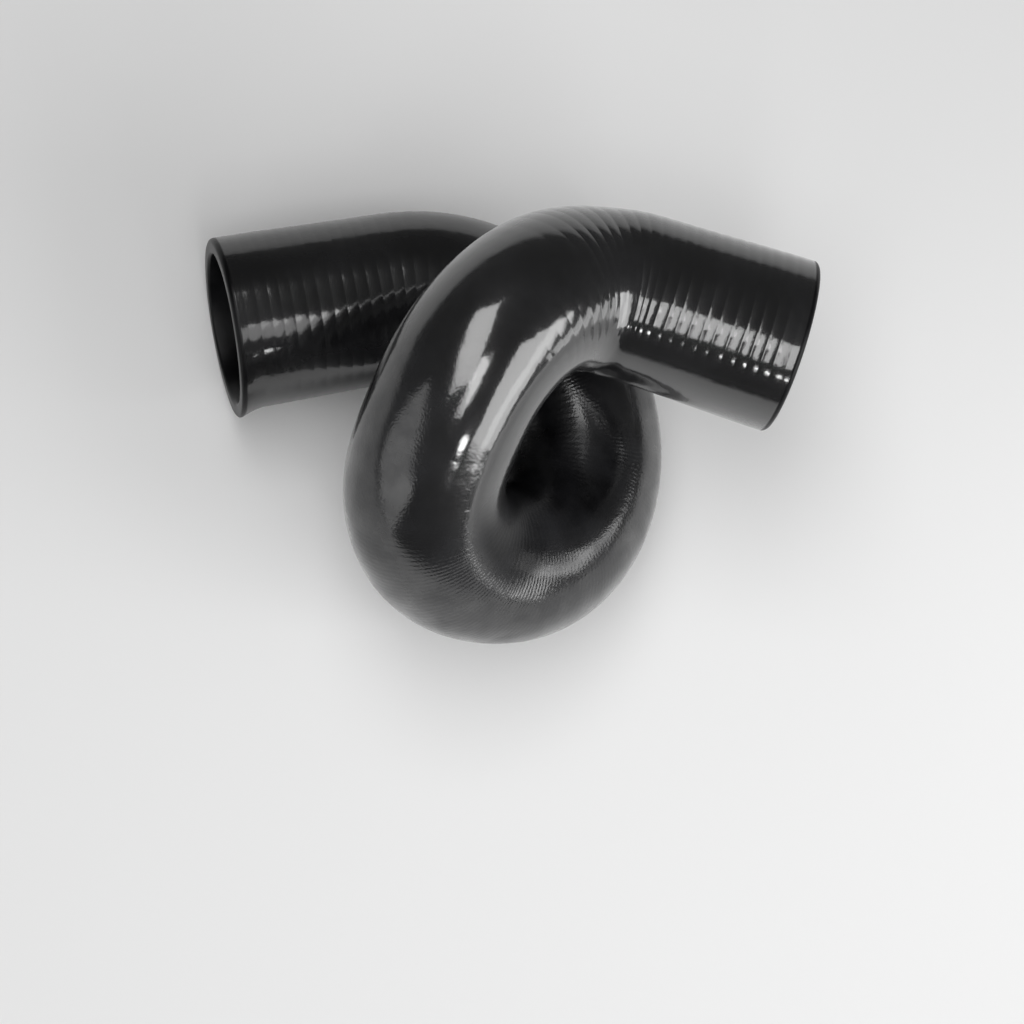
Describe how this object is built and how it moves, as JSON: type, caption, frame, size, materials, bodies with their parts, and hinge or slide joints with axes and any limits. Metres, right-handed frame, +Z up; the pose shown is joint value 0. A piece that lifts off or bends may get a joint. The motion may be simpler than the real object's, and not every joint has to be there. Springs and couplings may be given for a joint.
{
  "type": "radiator hose",
  "caption": "Moulded rubber coolant hose that turns through a loop between two straight arms, with open mouths that push over spigots.",
  "frame": {"origin": "on the surface that the hose lies on, under the middle of its box", "axes": "+Z up from that surface; +X from the inlet mouth along the inlet arm; +Y to the side away from which the first bend turns"},
  "size_m": [0.1506, 0.121, 0.1056],
  "materials": {
    "silicone": "glossy, wrapped while it cured, with fine rings around it"
  },
  "bodies": {
    "root": {"hose": "silicone"}
  },
  "joints": []
}
